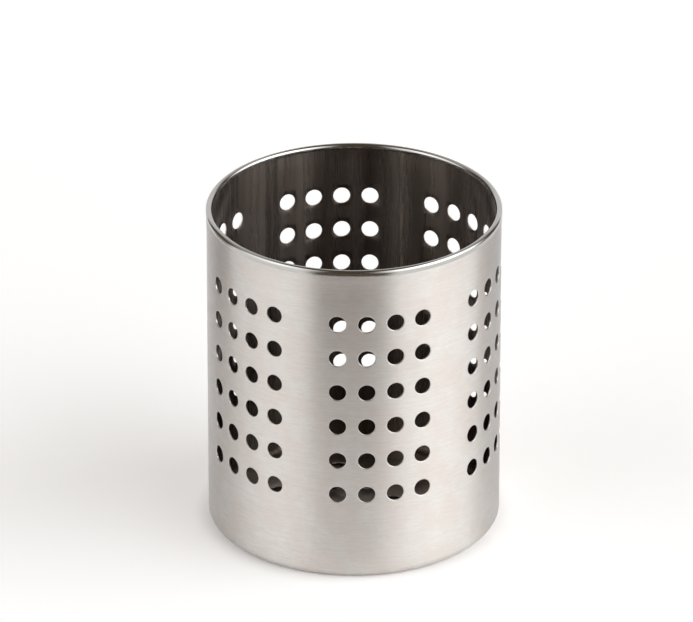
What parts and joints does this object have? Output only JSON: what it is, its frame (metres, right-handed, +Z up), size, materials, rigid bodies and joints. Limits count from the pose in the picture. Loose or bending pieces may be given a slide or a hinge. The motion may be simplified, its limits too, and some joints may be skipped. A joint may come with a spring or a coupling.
{
  "type": "cutlery basket",
  "caption": "Open upright round cup of perforated brushed steel sheet with a curled rim and a drained base, to stand table cutlery in.",
  "frame": {"origin": "on the cup's axis, in the plane of the surface that it stands on", "axes": "+Z up along the cup's axis, -Y and +Y through plain strips between the hole groups, with the wall's weld at +Y, and +X to the right when it is seen from -Y"},
  "size_m": [0.1206, 0.1206, 0.1395],
  "materials": {
    "wall_steel": "fine brushing round the outside, polished bead, plain mill finish inside",
    "plate_steel": "satin mill finish with press marks",
    "weld_metal": "cleaned weld, slightly heat tinted"
  },
  "bodies": {
    "root": {"perforated_wall": "wall_steel", "side_seam_weld": "weld_metal", "base_plate": "plate_steel", "base_tack_weld_1": "weld_metal", "base_tack_weld_2": "weld_metal", "base_tack_weld_3": "weld_metal", "base_tack_weld_4": "weld_metal", "base_tack_weld_5": "weld_metal", "base_tack_weld_6": "weld_metal"}
  },
  "joints": []
}
